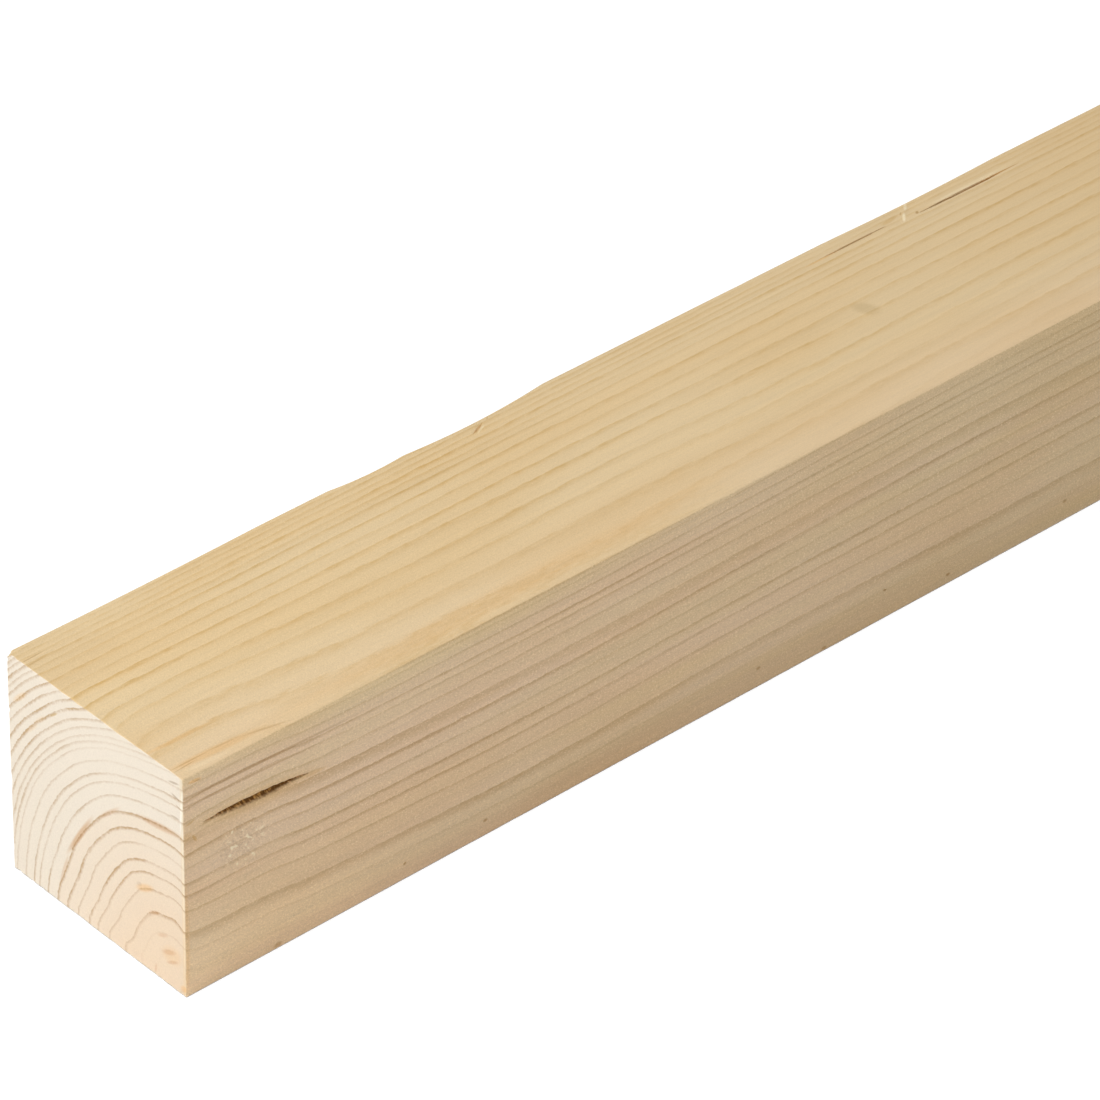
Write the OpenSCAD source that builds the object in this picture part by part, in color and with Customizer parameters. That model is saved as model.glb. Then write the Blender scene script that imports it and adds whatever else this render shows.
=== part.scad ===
// Square softwood timber: one sawn piece, planed on its four long faces and cross-cut square
// at both ends. It lies along Y with +Z up, and the origin is the centre of its underside.
// The marked end is the one at -Y. Places along the piece are distances from that end.
// Sizes are millimetres.

/* [Stock] */
// Width of the planed section, across X
section_width = 44; // [30:1:75]
// Height of the planed section, up Z
section_height = 44; // [30:1:75]
// Length of the piece, along Y
stock_length = 1800; // [600:100:5400]
// Radius that planing leaves on the four long arrises
arris_radius = 0.3; // [0.2:0.1:3]

/* [Planing skips in the upper arris at -X] */
// Distance from the marked end to the middle of the end skip
end_skip_at = 21; // [5:1:100]
// Length of the end skip along the arris
end_skip_length = 78; // [10:1:120]
// Depth of the end skip below the sharp arris
end_skip_depth = 0.35; // [0.3:0.05:3]
// Distance from the marked end to the middle of the short skip
short_skip_at = 77; // [20:1:250]
// Length of the short skip along the arris
short_skip_length = 22; // [4:1:40]
// Depth of the short skip below the sharp arris
short_skip_depth = 0.65; // [0.3:0.05:3]
// Distance from the marked end to the middle of the deep skip
deep_skip_at = 97; // [20:1:250]
// Length of the deep skip along the arris
deep_skip_length = 38; // [10:1:120]
// Depth of the deep skip below the sharp arris
deep_skip_depth = 0.9; // [0.3:0.05:3]
// Distance from the marked end to the middle of the shallow skip
shallow_skip_at = 201; // [20:1:500]
// Length of the shallow skip along the arris
shallow_skip_length = 50; // [10:1:120]
// Depth of the shallow skip below the sharp arris
shallow_skip_depth = 0.35; // [0.3:0.05:3]

/* [Resin pocket on the +X face] */
// Distance from the marked end to the middle of the pocket
pocket_at = 15; // [13:1:200]
// Height of the middle of the pocket above the underside
pocket_height = 33; // [5:0.5:60]
// Length of the pocket along the grain
pocket_length = 22; // [10:1:40]
// Width of the pocket at its middle
pocket_width = 1.4; // [0.5:0.1:4]
// Depth of the pocket below the +X face
pocket_depth = 1.2; // [0.5:0.1:6]
// Slope of the grain at the pocket, falling away from the marked end
pocket_slope = 3.5; // [0:0.5:10]

/* [Drying checks in the top face] */
// Distance from the marked end to the middle of the wide check
wide_check_at = 212; // [40:1:500]
// Distance of the wide check in from the -X face
wide_check_inset = 4.2; // [2:0.1:15]
// Length of the wide check along the grain
wide_check_length = 25; // [8:1:80]
// Width of the wide check at its middle
wide_check_width = 0.5; // [0.2:0.1:2]
// Depth of the wide check below the top face
wide_check_depth = 2.5; // [0.5:0.1:10]
// Distance from the marked end to the middle of the hair check
hair_check_at = 183; // [40:1:500]
// Distance of the hair check in from the -X face
hair_check_inset = 3.4; // [2:0.1:15]
// Length of the hair check along the grain
hair_check_length = 18; // [8:1:80]
// Width of the hair check at its middle
hair_check_width = 0.3; // [0.2:0.1:2]
// Depth of the hair check below the top face
hair_check_depth = 1.5; // [0.5:0.1:10]

/* [Hidden] */
// Facets of a preview: at most a degree each, and no shorter than a tenth of a millimetre
$fa = 1;
$fs = 0.1;
// The bevel of a skip leans at half the corner's angle
arris_lean = 45;
marked_end = -stock_length / 2;
planed_softwood = [0.88, 0.78, 0.62];

// Radius of the arc that spans a chord and rises by a given height
function arc_radius(chord, rise) = (chord * chord / 4 + rise * rise) / (2 * rise);

// The planed section in the XZ plane, standing on Z = 0, with its four arrises eased
module planed_section() {
    core_width = section_width - 2 * arris_radius;
    core_height = section_height - 2 * arris_radius;
    translate([0, section_height / 2]) {
        square([section_width, core_height], center = true);
        square([core_width, section_height], center = true);
        for (side = [-1, 1], level = [-1, 1])
            translate([side * core_width / 2, level * core_height / 2])
                circle(arris_radius);
    }
}

// The full length of the planed section, cut square at both ends
module planed_length() {
    rotate([90, 0, 0])
        linear_extrude(stock_length, center = true)
            planed_section();
}

// A skip: the scoop that a wide arc takes out of the upper arris at -X
module arris_skip(at, length, depth) {
    scoop_radius = arc_radius(length, depth);
    bevel_width = 2 * depth;
    translate([-section_width / 2, marked_end + at, section_height])
        rotate([0, arris_lean, 0])
            translate([depth - scoop_radius, 0, 0])
                cylinder(h = 2 * bevel_width, r = scoop_radius, center = true);
}

// A lens between two arcs, lying along X, cut to a given depth below Z = 0
module lens_cut(length, width, depth) {
    side_radius = arc_radius(length, width / 2);
    linear_extrude(2 * depth, center = true)
        intersection_for (side = [-1, 1])
            translate([0, side * (side_radius - width / 2)])
                circle(side_radius);
}

// The resin pocket, opened by planing on the +X face
module resin_pocket() {
    translate([section_width / 2, marked_end + pocket_at, pocket_height])
        rotate([90, 0, 90])
            rotate([0, 0, -pocket_slope])
                lens_cut(pocket_length, pocket_width, pocket_depth);
}

// A drying check on the top face, at a given inset from the -X face
module drying_check(at, inset, length, width, depth) {
    translate([inset - section_width / 2, marked_end + at, section_height])
        rotate([0, 0, 90])
            lens_cut(length, width, depth);
}

module plank() {
    color(planed_softwood)
        difference() {
            planed_length();
            arris_skip(end_skip_at, end_skip_length, end_skip_depth);
            arris_skip(short_skip_at, short_skip_length, short_skip_depth);
            arris_skip(deep_skip_at, deep_skip_length, deep_skip_depth);
            arris_skip(shallow_skip_at, shallow_skip_length, shallow_skip_depth);
            resin_pocket();
            drying_check(wide_check_at, wide_check_inset, wide_check_length,
                wide_check_width, wide_check_depth);
            drying_check(hair_check_at, hair_check_inset, hair_check_length,
                hair_check_width, hair_check_depth);
        }
}

plank();
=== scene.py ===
"""One length of planed square softwood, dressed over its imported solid.

The wood lies along Y with its marked end at -Y. Sizes are millimetres, and places along the piece are
distances from the marked end, until a mesh, a lamp or the camera is made in metres.
"""
import logging
import math
from collections.abc import Sequence
from dataclasses import KW_ONLY, dataclass
from enum import Enum
from functools import reduce

import bpy
import numpy as np
from mathutils import Matrix, Vector, noise

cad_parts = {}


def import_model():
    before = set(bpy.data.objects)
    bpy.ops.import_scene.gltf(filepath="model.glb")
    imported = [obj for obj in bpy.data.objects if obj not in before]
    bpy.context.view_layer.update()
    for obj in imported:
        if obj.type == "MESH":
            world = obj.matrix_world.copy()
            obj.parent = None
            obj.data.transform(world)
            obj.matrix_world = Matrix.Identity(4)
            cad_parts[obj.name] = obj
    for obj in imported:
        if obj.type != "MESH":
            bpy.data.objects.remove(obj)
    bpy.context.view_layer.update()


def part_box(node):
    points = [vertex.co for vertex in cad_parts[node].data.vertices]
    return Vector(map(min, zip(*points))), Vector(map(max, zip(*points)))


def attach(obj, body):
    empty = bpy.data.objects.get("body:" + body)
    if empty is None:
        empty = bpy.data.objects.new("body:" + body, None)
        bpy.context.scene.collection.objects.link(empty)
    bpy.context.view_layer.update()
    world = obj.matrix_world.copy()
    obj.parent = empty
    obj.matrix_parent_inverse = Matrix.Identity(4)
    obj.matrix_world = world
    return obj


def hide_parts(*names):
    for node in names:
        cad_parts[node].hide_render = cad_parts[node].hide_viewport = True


log = logging.getLogger("timber")

MM = 0.001
NODE = "plank"
TINY = 1e-9

Colour = tuple[float, float, float]
Points = Sequence[tuple[float, float]]


class Face(Enum):
    """A face of the wood that carries marks."""

    TOP = "top"
    RIGHT = "right"
    MARKED_END = "marked end"


def srgb(red: int, green: int, blue: int) -> Colour:
    """Turns a colour as a screen shows it into linear light.

    Args:
        red: Red, from 0 to 255.
        green: Green, from 0 to 255.
        blue: Blue, from 0 to 255.

    Returns:
        The three linear values, from 0 to 1.
    """
    shares = (red / 255, green / 255, blue / 255)
    return tuple(c / 12.92 if c <= 0.04045 else ((c + 0.055) / 1.055) ** 2.4 for c in shares)


def ruled_lines(start: float, ruler: Points) -> np.ndarray:
    """Lays lines along a ruler whose spacing changes from one stretch to the next.

    Args:
        start: Where the ruler starts.
        ruler: The stop and the step of each stretch, in order.

    Returns:
        The places of the lines, from the start to the last stop.
    """
    lines = [np.array([start])]
    for stop, step in ruler:
        first = lines[-1][-1]
        count = max(1, round((stop - first) / step))
        lines.append(np.linspace(first, stop, count + 1)[1:])
    return np.concatenate(lines)


def uneven(places: np.ndarray, grain: Sequence[float]) -> np.ndarray:
    """Smooth noise that is the same in every run.

    Args:
        places: Points in millimetres, one to a row.
        grain: The size of the noise along each axis, in millimetres.

    Returns:
        One value for each point, from about -1 to 1.
    """
    return np.array([noise.noise(Vector(point)) for point in places / np.array(grain)])


def shaved(places: np.ndarray, contact_shade: Sequence[float], looks: Sequence[float],
           depth: np.ndarray) -> np.ndarray:
    """Planes points back to a flat that cuts a corner or an edge.

    Args:
        places: X, place along and Z of each point.
        contact_shade: A point of the sharp corner or edge.
        looks: The way that the flat looks.
        depth: How deep the flat lies below the sharp corner, for each point.

    Returns:
        The places after the cut.
    """
    look = np.array(looks) / np.linalg.norm(looks)
    proud = np.maximum((places - np.array(contact_shade)) @ look + depth, 0.0)
    return places - np.where(depth > 0, proud, 0.0)[:, None] * look


@dataclass(frozen=True)
class Stock:
    """The planed length: its section, its length and the easing of its long arrises."""

    width: float
    height: float
    length: float
    arris_radius: float = 0.3

    @classmethod
    def packed(cls) -> "Stock":
        """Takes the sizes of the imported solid."""
        low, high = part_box(NODE)
        return cls(*((high - low) / MM).xzy)

    def eased(self, across: np.ndarray, up: np.ndarray) -> tuple[np.ndarray, ...]:
        """Bends points of the square section onto the section with eased arrises.

        Args:
            across: X of each point.
            up: Z of each point.

        Returns:
            The new X and Z of each point, and the X and Z of the way that the skin looks there.
        """
        middle = self.height / 2
        side = np.where(across < 0, -1.0, 1.0)
        level = np.where(up < middle, -1.0, 1.0)
        core_across = np.clip(across, self.arris_radius - self.width / 2, self.width / 2 - self.arris_radius)
        core_up = np.clip(up, self.arris_radius, self.height - self.arris_radius)
        over_across = np.abs(across - core_across) / self.arris_radius
        over_up = np.abs(up - core_up) / self.arris_radius
        reach = np.maximum(over_across, over_up)
        lean = np.radians(45.0) * (1 + (over_across - over_up) / np.maximum(reach, TINY))
        look_across = side * np.sin(lean)
        look_up = level * np.cos(lean)
        new_across = core_across + self.arris_radius * reach * look_across
        new_up = core_up + self.arris_radius * reach * look_up
        return new_across, new_up, look_across, look_up


@dataclass(frozen=True)
class ArrisSkip:
    """A hollow that the planer left in the upper arris at -X."""

    at: float
    length: float
    depth: float

    def depth_at(self, along: np.ndarray) -> np.ndarray:
        """Depth below the sharp arris at places along the piece, and below 0 outside the skip."""
        radius = (self.length**2 / 4 + self.depth**2) / (2 * self.depth)
        return self.depth - radius + np.sqrt(np.maximum(radius**2 - (along - self.at) ** 2, 0.0))


@dataclass(frozen=True)
class Mark:
    """A place on a face, of its own length and width, where the wood differs from what is round it.

    On a long face, at is the place along the piece, and level is Z on the right face and X on the top face.
    On the marked end, at is X and level is Z. The slope is how far the mark turns towards a higher level,
    in degrees.
    """

    face: Face
    _: KW_ONLY
    at: float
    level: float
    length: float
    width: float
    slope: float = 0.0


@dataclass(frozen=True, kw_only=True)
class Lens(Mark):
    """A pointed opening along the grain of a long face: a resin pocket, a drying check or a tear.

    A lean below 0 makes it shallower towards its far tip, and a lean above 0 towards its near tip.
    """

    depth: float = 0.0
    lean: float = 0.0

    def inside(self, along: np.ndarray, level: np.ndarray) -> np.ndarray:
        """Grades points of the face: 1 in the middle of the opening and 0 on its rim and outside it.

        Args:
            along: Places of the points along the piece.
            level: Their levels.

        Returns:
            One value for each point.
        """
        turn = math.radians(self.slope)
        run = (along - self.at) * math.cos(turn) + (level - self.level) * math.sin(turn)
        off = (level - self.level) * math.cos(turn) - (along - self.at) * math.sin(turn)
        tip = run / (self.length / 2)
        full = np.maximum(1 - np.abs(off) / (self.width / 2) - tip**2, 0.0)
        return np.clip(full * (1 + self.lean * tip), 0.0, 1.0)


@dataclass(frozen=True, kw_only=True)
class Spot(Mark):
    """A soft oval patch of another colour."""

    tint: Colour
    share: float = 1.0


@dataclass(frozen=True, kw_only=True)
class FaintGrain(Mark):
    """A soft oval patch where the late wood is faint."""

    share: float = 1.0


SKIPS = (
    ArrisSkip(at=21, length=78, depth=0.35),
    ArrisSkip(at=77, length=22, depth=0.65),
    ArrisSkip(at=97, length=38, depth=0.9),
    ArrisSkip(at=201, length=50, depth=0.35),
)
RESIN_POCKET = Lens(Face.RIGHT, at=15, level=33, length=22, width=1.4, depth=1.2, slope=-3.5)
WIDE_CHECK = Lens(Face.TOP, at=212, level=-17.8, length=25, width=0.5, depth=2.5, lean=-1.7)
HAIR_CHECK = Lens(Face.TOP, at=183, level=-18.6, length=18, width=0.3, depth=1.5, lean=1.4)
SLANT_TEAR = Lens(Face.TOP, at=97.8, level=-19.2, length=3.8, width=0.5, depth=0.3, slope=-24)
TORN_PATCH = Lens(Face.TOP, at=195.0, level=-20.4, length=13, width=5.4, depth=0.25)
TORN_FIBRES = Mark(Face.RIGHT, at=11.7, level=25.3, length=17, width=19)
LIFTED_FLAKE = Lens(Face.TOP, at=197.3, level=-19.6, length=7.0, width=1.5, slope=-46)

ORANGE: Colour = (1.0, 0.86, 0.66)
BROWN: Colour = (0.66, 0.55, 0.4)
RUST: Colour = (0.8, 0.61, 0.44)
GREY_BROWN: Colour = (0.7, 0.63, 0.56)
OLIVE: Colour = (0.88, 0.84, 0.74)
BRUISE: Colour = (0.84, 0.82, 0.76)
PALE: Colour = (1.06, 1.1, 1.16)
# Pale raw fibre, and a painted highlight where a lip, a flake or an edge faces the light
RAW_FIBRE_AND_HIGHLIGHT: Colour = (1.22, 1.36, 1.6)
BRIGHT: Colour = (1.08, 1.07, 1.04)
YELLOWED: Colour = (0.88, 0.78, 0.58)

SPOTS = (
    # Two dark stretches of grain, resin stain round the pocket and a warm end of grain on the right face
    Spot(Face.RIGHT, at=12, level=39.7, length=60, width=0.9, tint=BROWN, share=0.6, slope=-1.8),
    Spot(Face.RIGHT, at=10, level=38.0, length=52, width=0.7, tint=BROWN, share=0.5, slope=-2.2),
    Spot(Face.RIGHT, at=2.4, level=42.7, length=3.6, width=1.0, tint=ORANGE, slope=-4.0),
    Spot(Face.RIGHT, at=3.0, level=42.5, length=1.8, width=0.3, tint=BROWN, share=0.7, slope=-4.0),
    Spot(Face.RIGHT, at=15, level=32.8, length=32, width=5.0, tint=YELLOWED, share=0.6, slope=-4.0),
    Spot(Face.RIGHT, at=5.2, level=33.4, length=4.6, width=0.8, tint=BROWN, share=0.5, slope=6.0),
    Spot(Face.RIGHT, at=26.0, level=32.0, length=9.0, width=1.6, tint=YELLOWED, share=0.7, slope=-6.0),
    Spot(Face.RIGHT, at=2.2, level=31.4, length=2.4, width=0.8, tint=YELLOWED, slope=-60.0),
    Spot(Face.RIGHT, at=0.8, level=32.4, length=2.4, width=2.2, tint=YELLOWED, share=0.5),
    Spot(Face.RIGHT, at=1.4, level=34.8, length=2.6, width=0.7, tint=YELLOWED, share=0.8, slope=12.0),
    # Brighter wood low at the marked end, duller wood beyond it, small specks, painted shade along the lower
    # arris, and the sawn edge of the right face
    Spot(Face.RIGHT, at=10, level=3.5, length=100, width=18, tint=BRIGHT),
    Spot(Face.RIGHT, at=130, level=2.4, length=200, width=12.0, tint=OLIVE, share=0.7),
    Spot(Face.RIGHT, at=46, level=3.3, length=1.0, width=0.7, tint=BROWN, slope=30.0),
    Spot(Face.RIGHT, at=63.5, level=3.2, length=1.3, width=0.9, tint=BROWN, share=0.9),
    Spot(Face.RIGHT, at=19, level=0.8, length=2.4, width=1.4, tint=BROWN, share=0.7),
    Spot(Face.RIGHT, at=125, level=4.0, length=1.4, width=0.9, tint=BROWN, share=0.8),
    Spot(Face.RIGHT, at=140.5, level=0.7, length=1.6, width=0.8, tint=BROWN, share=0.8),
    Spot(Face.RIGHT, at=154.6, level=6.1, length=1.2, width=0.6, tint=BROWN, slope=-20.0),
    Spot(Face.RIGHT, at=170, level=2.0, length=1.4, width=0.8, tint=BROWN),
    Spot(Face.RIGHT, at=198.4, level=4.2, length=1.4, width=1.0, tint=BROWN, share=0.7),
    # Painted shade: a grey-brown line along the lower arris, where the wood meets the floor
    Spot(Face.RIGHT, at=110, level=0.0, length=300, width=1.0, tint=GREY_BROWN, share=0.5),
    Spot(Face.RIGHT, at=0.2, level=11, length=30, width=2.0, tint=ORANGE, share=0.5, slope=90.0),
    # Frayed grain at the near corner, a bruise across the grain, the tear, the torn patch and its flake,
    # which is pale raw fibre and partly a painted highlight, the lips of the checks, with a painted highlight
    # on the wide one's, painted shade deep in the near half of the wide check, and painted shade along the
    # arris at -X on the top face
    Spot(Face.TOP, at=8, level=19.3, length=24, width=2.4, tint=ORANGE, share=0.6, slope=3.0),
    Spot(Face.TOP, at=4.0, level=18.9, length=10, width=0.45, tint=BROWN, share=0.5),
    Spot(Face.TOP, at=2.5, level=19.5, length=6.0, width=0.35, tint=BROWN, share=0.55, slope=-4.0),
    Spot(Face.TOP, at=11, level=19.0, length=9.0, width=0.5, tint=BROWN, share=0.35, slope=3.0),
    Spot(Face.TOP, at=18.4, level=20.3, length=11, width=0.7, tint=BROWN, share=0.4, slope=12.0),
    Spot(Face.TOP, at=6, level=20.8, length=12, width=1.2, tint=PALE, share=0.7, slope=3.0),
    Spot(Face.TOP, at=6, level=13.3, length=20, width=1.4, tint=ORANGE, share=0.5, slope=1.0),
    Spot(Face.TOP, at=66, level=18.2, length=110, width=6.0, tint=ORANGE, share=0.3, slope=-1.0),
    Spot(Face.TOP, at=171.6, level=-2.5, length=7.0, width=4.4, tint=BRUISE, share=0.75, slope=62.0),
    Spot(Face.TOP, at=74, level=6.7, length=8.0, width=0.5, tint=GREY_BROWN, share=0.3),
    Spot(Face.TOP, at=2.0, level=-18.1, length=8.0, width=0.4, tint=BROWN, share=0.5, slope=-3.0),
    Spot(Face.TOP, at=1.5, level=-16.8, length=6.0, width=0.4, tint=BROWN, share=0.4, slope=-3.0),
    Spot(Face.TOP, at=97.9, level=-18.6, length=3.4, width=0.5, tint=RAW_FIBRE_AND_HIGHLIGHT, share=0.6, slope=-24.0),
    Spot(Face.TOP, at=101.0, level=-20.5, length=1.8, width=0.3, tint=BROWN, share=0.5, slope=-45.0),
    Spot(Face.TOP, at=193.8, level=-19.6, length=6.0, width=1.4, tint=YELLOWED, share=0.6, slope=-10.0),
    # Pale raw fibre of the lifted flake, partly a painted highlight on the facet that faces the light
    Spot(Face.TOP, at=196.3, level=-18.5, length=3.6, width=0.8, tint=RAW_FIBRE_AND_HIGHLIGHT, slope=-47.0),
    Spot(Face.TOP, at=198.8, level=-20.8, length=3.0, width=0.8, tint=RAW_FIBRE_AND_HIGHLIGHT, slope=-45.0),
    Spot(Face.TOP, at=196.7, level=-19.8, length=1.4, width=0.4, tint=BROWN, share=0.6, slope=-45.0),
    Spot(Face.TOP, at=199.1, level=-18.1, length=1.2, width=0.8, tint=BROWN, share=0.9, slope=-35.0),
    # Painted highlight on the raised lip of the wide check
    Spot(Face.TOP, at=212, level=-18.4, length=28, width=1.0, tint=RAW_FIBRE_AND_HIGHLIGHT, share=0.6),
    Spot(Face.TOP, at=2, level=-15.0, length=36, width=22, tint=GREY_BROWN, share=0.12),
    # Painted shade deep in the near half of the wide check
    Spot(Face.TOP, at=206.0, level=-17.75, length=12, width=0.7, tint=BROWN, share=0.8),
    # Painted shade along the bevelled arris at -X, which faces away from the light
    Spot(Face.TOP, at=120, level=-21.9, length=320, width=0.6, tint=GREY_BROWN, share=0.4),
    Spot(Face.TOP, at=176, level=-18.4, length=10, width=0.5, tint=ORANGE, share=0.8),
    # Frayed edge, pale as raw fibre and partly a painted highlight, resin and warm heartwood on the marked
    # end
    # Painted highlight along the edge at +X, on its pale frayed fibre
    Spot(Face.MARKED_END, at=21.6, level=38.0, length=13, width=0.7, tint=RAW_FIBRE_AND_HIGHLIGHT, share=0.6, slope=86.0),
    Spot(Face.MARKED_END, at=21.75, level=20, length=60, width=0.6, tint=RAW_FIBRE_AND_HIGHLIGHT, share=0.4, slope=90.0),
    Spot(Face.MARKED_END, at=19.8, level=42.2, length=3.6, width=0.6, tint=GREY_BROWN, slope=16.0),
    Spot(Face.MARKED_END, at=20.2, level=39.6, length=2.8, width=0.6, tint=GREY_BROWN, slope=-12.0),
    Spot(Face.MARKED_END, at=19.9, level=35.4, length=3.0, width=0.6, tint=GREY_BROWN, share=0.9, slope=8.0),
    Spot(Face.MARKED_END, at=20.9, level=37.9, length=2.0, width=0.4, tint=BROWN, share=0.6, slope=-20.0),
    Spot(Face.MARKED_END, at=12.0, level=16.4, length=6.4, width=2.0, tint=ORANGE, slope=29.0),
    Spot(Face.MARKED_END, at=10.6, level=16.4, length=2.0, width=1.2, tint=GREY_BROWN, share=0.35, slope=32),
    Spot(Face.MARKED_END, at=18.6, level=6.6, length=7.0, width=4.6, tint=ORANGE, share=0.45, slope=25.0),
    Spot(Face.MARKED_END, at=14.3, level=12.8, length=3.8, width=1.0, tint=RUST, share=0.5, slope=30.0),
    Spot(Face.MARKED_END, at=16.3, level=9.4, length=4.0, width=1.1, tint=RUST, share=0.4, slope=28.0),
    Spot(Face.MARKED_END, at=17.8, level=6.8, length=5.0, width=1.4, tint=RUST, share=0.5, slope=26.0),
    Spot(Face.MARKED_END, at=18.6, level=5.2, length=4.4, width=0.9, tint=RUST, share=0.5, slope=30.0),
    Spot(Face.MARKED_END, at=14.4, level=1.5, length=2.6, width=0.8, tint=RUST, share=0.4, slope=80.0),
    Spot(Face.MARKED_END, at=21.4, level=1.4, length=2.4, width=1.8, tint=ORANGE, share=0.9, slope=40.0),
    Spot(Face.MARKED_END, at=-18.8, level=36.7, length=7.0, width=1.4, tint=ORANGE, share=0.7, slope=45.0),
    Spot(Face.MARKED_END, at=-13.8, level=35.0, length=6.0, width=1.2, tint=ORANGE, share=0.4, slope=45.0),
    Spot(Face.MARKED_END, at=-16.1, level=32.0, length=6.0, width=1.2, tint=ORANGE, share=0.4, slope=48.0),
    Spot(Face.MARKED_END, at=-10.2, level=38.1, length=3.4, width=0.6, tint=YELLOWED, slope=42.0),
    # The rusty ring on the marked end
    Spot(Face.MARKED_END, at=-4.4, level=17.2, length=16, width=1.6, tint=RUST, share=0.9, slope=59.0),
    Spot(Face.MARKED_END, at=-8.7, level=7.5, length=10, width=1.1, tint=RUST, share=0.5, slope=72.0),
    Spot(Face.MARKED_END, at=3.2, level=26.3, length=10, width=1.1, tint=RUST, share=0.5, slope=44.0),
    Spot(Face.MARKED_END, at=16.0, level=31.3, length=14, width=1.9, tint=RUST, share=0.65, slope=11.0),
)

FAINT_GRAIN = (
    FaintGrain(Face.MARKED_END, at=4, level=39, length=36, width=13, share=0.55, slope=20.0),
    FaintGrain(Face.MARKED_END, at=16, level=25, length=18, width=9, share=0.5, slope=6.0),
    FaintGrain(Face.MARKED_END, at=14, level=4, length=30, width=24, share=0.6),
    FaintGrain(Face.RIGHT, at=12, level=31.7, length=28, width=2.8, slope=-2.0),
    FaintGrain(Face.RIGHT, at=12, level=25.0, length=30, width=14, share=0.45, slope=-2.0),
)


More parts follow.
